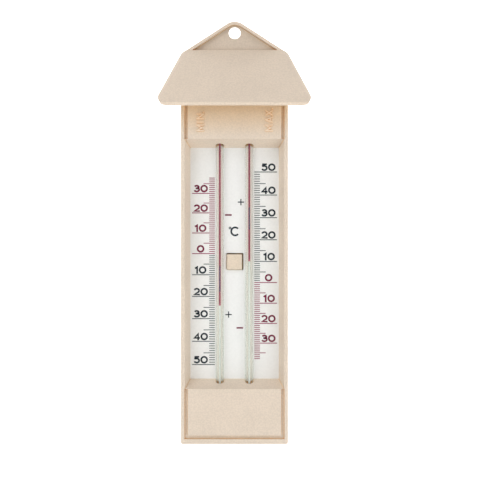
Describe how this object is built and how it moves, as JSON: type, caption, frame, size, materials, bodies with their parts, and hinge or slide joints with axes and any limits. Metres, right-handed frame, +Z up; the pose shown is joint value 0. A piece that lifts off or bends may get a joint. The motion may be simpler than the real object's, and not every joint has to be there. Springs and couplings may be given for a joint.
{
  "type": "maximum minimum thermometer",
  "caption": "Wall thermometer with a U-shaped tube, two sliding indexes and a magnetic reset button, in a long housing under a pitched roof with a hanging hole.",
  "frame": {"origin": "centre of the hanging hole at the wall plane", "axes": "+X to the viewer's right, +Z up, +Y towards the wall, so the front faces -Y"},
  "size_m": [0.0814, 0.032, 0.2325],
  "materials": {
    "hood_plastic": "satin moulded beige with a fine mottled grain",
    "housing_plastic": "satin moulded beige with a fine mottled grain",
    "cover_plastic": "satin moulded beige",
    "plate_plastic": "white, printed on the front",
    "tube_glass": "clear glass",
    "spirit": "red dyed spirit",
    "mercury": "liquid metal",
    "steel": "plain",
    "index_sheath": "dark blue glaze",
    "button_plastic": "satin moulded beige",
    "carrier_plastic": "plain",
    "magnet": "bonded ferrite",
    "spring_steel": "drawn wire",
    "clip_plastic": "plain",
    "cushion": "cellular rubber",
    "screw_steel": "zinc plated"
  },
  "bodies": {
    "case": {"roof_hood": "hood_plastic", "front_housing": "housing_plastic", "back_cover": "cover_plastic", "scale_plate": "plate_plastic", "glass_u_tube": "tube_glass", "sensing_bulb": "tube_glass", "expansion_bulb": "tube_glass", "sensing_bulb_spirit": "spirit", "expansion_bulb_spirit": "spirit", "mercury_bend": "mercury", "upper_return_spring": "spring_steel", "lower_return_spring": "spring_steel", "upper_tube_clip": "clip_plastic", "lower_tube_clip": "clip_plastic", "bulb_cushion": "cushion", "bend_cushion": "cushion", "cover_screws": "screw_steel", "hood_screws": "screw_steel"},
    "reset": {"reset_button": "button_plastic", "magnet_carrier": "carrier_plastic", "min_magnet_strip": "magnet", "max_magnet_strip": "magnet"},
    "min_index": {"min_index_core": "steel", "min_index_sheath": "index_sheath"},
    "max_index": {"max_index_core": "steel", "max_index_sheath": "index_sheath"},
    "min_thread": {"min_mercury_thread": "mercury", "min_spirit_column": "spirit"},
    "max_thread": {"max_mercury_thread": "mercury", "max_spirit_column": "spirit"}
  },
  "joints": [
    {"name": "reset_press", "type": "slide", "parent": "case", "child": "reset", "axis": [0, 1, 0], "range_m": [0, 0.0025], "stiffness_N_per_m": 400, "springref_m": -0.0015, "deforming": ["upper_return_spring", "lower_return_spring"]},
    {"name": "min_index_slide", "type": "slide", "parent": "case", "child": "min_index", "axis": [0, 0, 1], "range_m": [-0.004, 0.065]},
    {"name": "max_index_slide", "type": "slide", "parent": "case", "child": "max_index", "axis": [0, 0, 1], "range_m": [-0.011, 0.033]},
    {"name": "max_thread_rise", "type": "slide", "parent": "case", "child": "max_thread", "axis": [0, 0, 1], "range_m": [-0.003, 0.006]},
    {"name": "min_thread_rise", "type": "slide", "parent": "case", "child": "min_thread", "axis": [0, 0, 1], "range_m": [-0.006, 0.003]}
  ],
  "couplings": [
    {"joint": "min_thread_rise", "follows": "max_thread_rise", "ratio": -1}
  ]
}
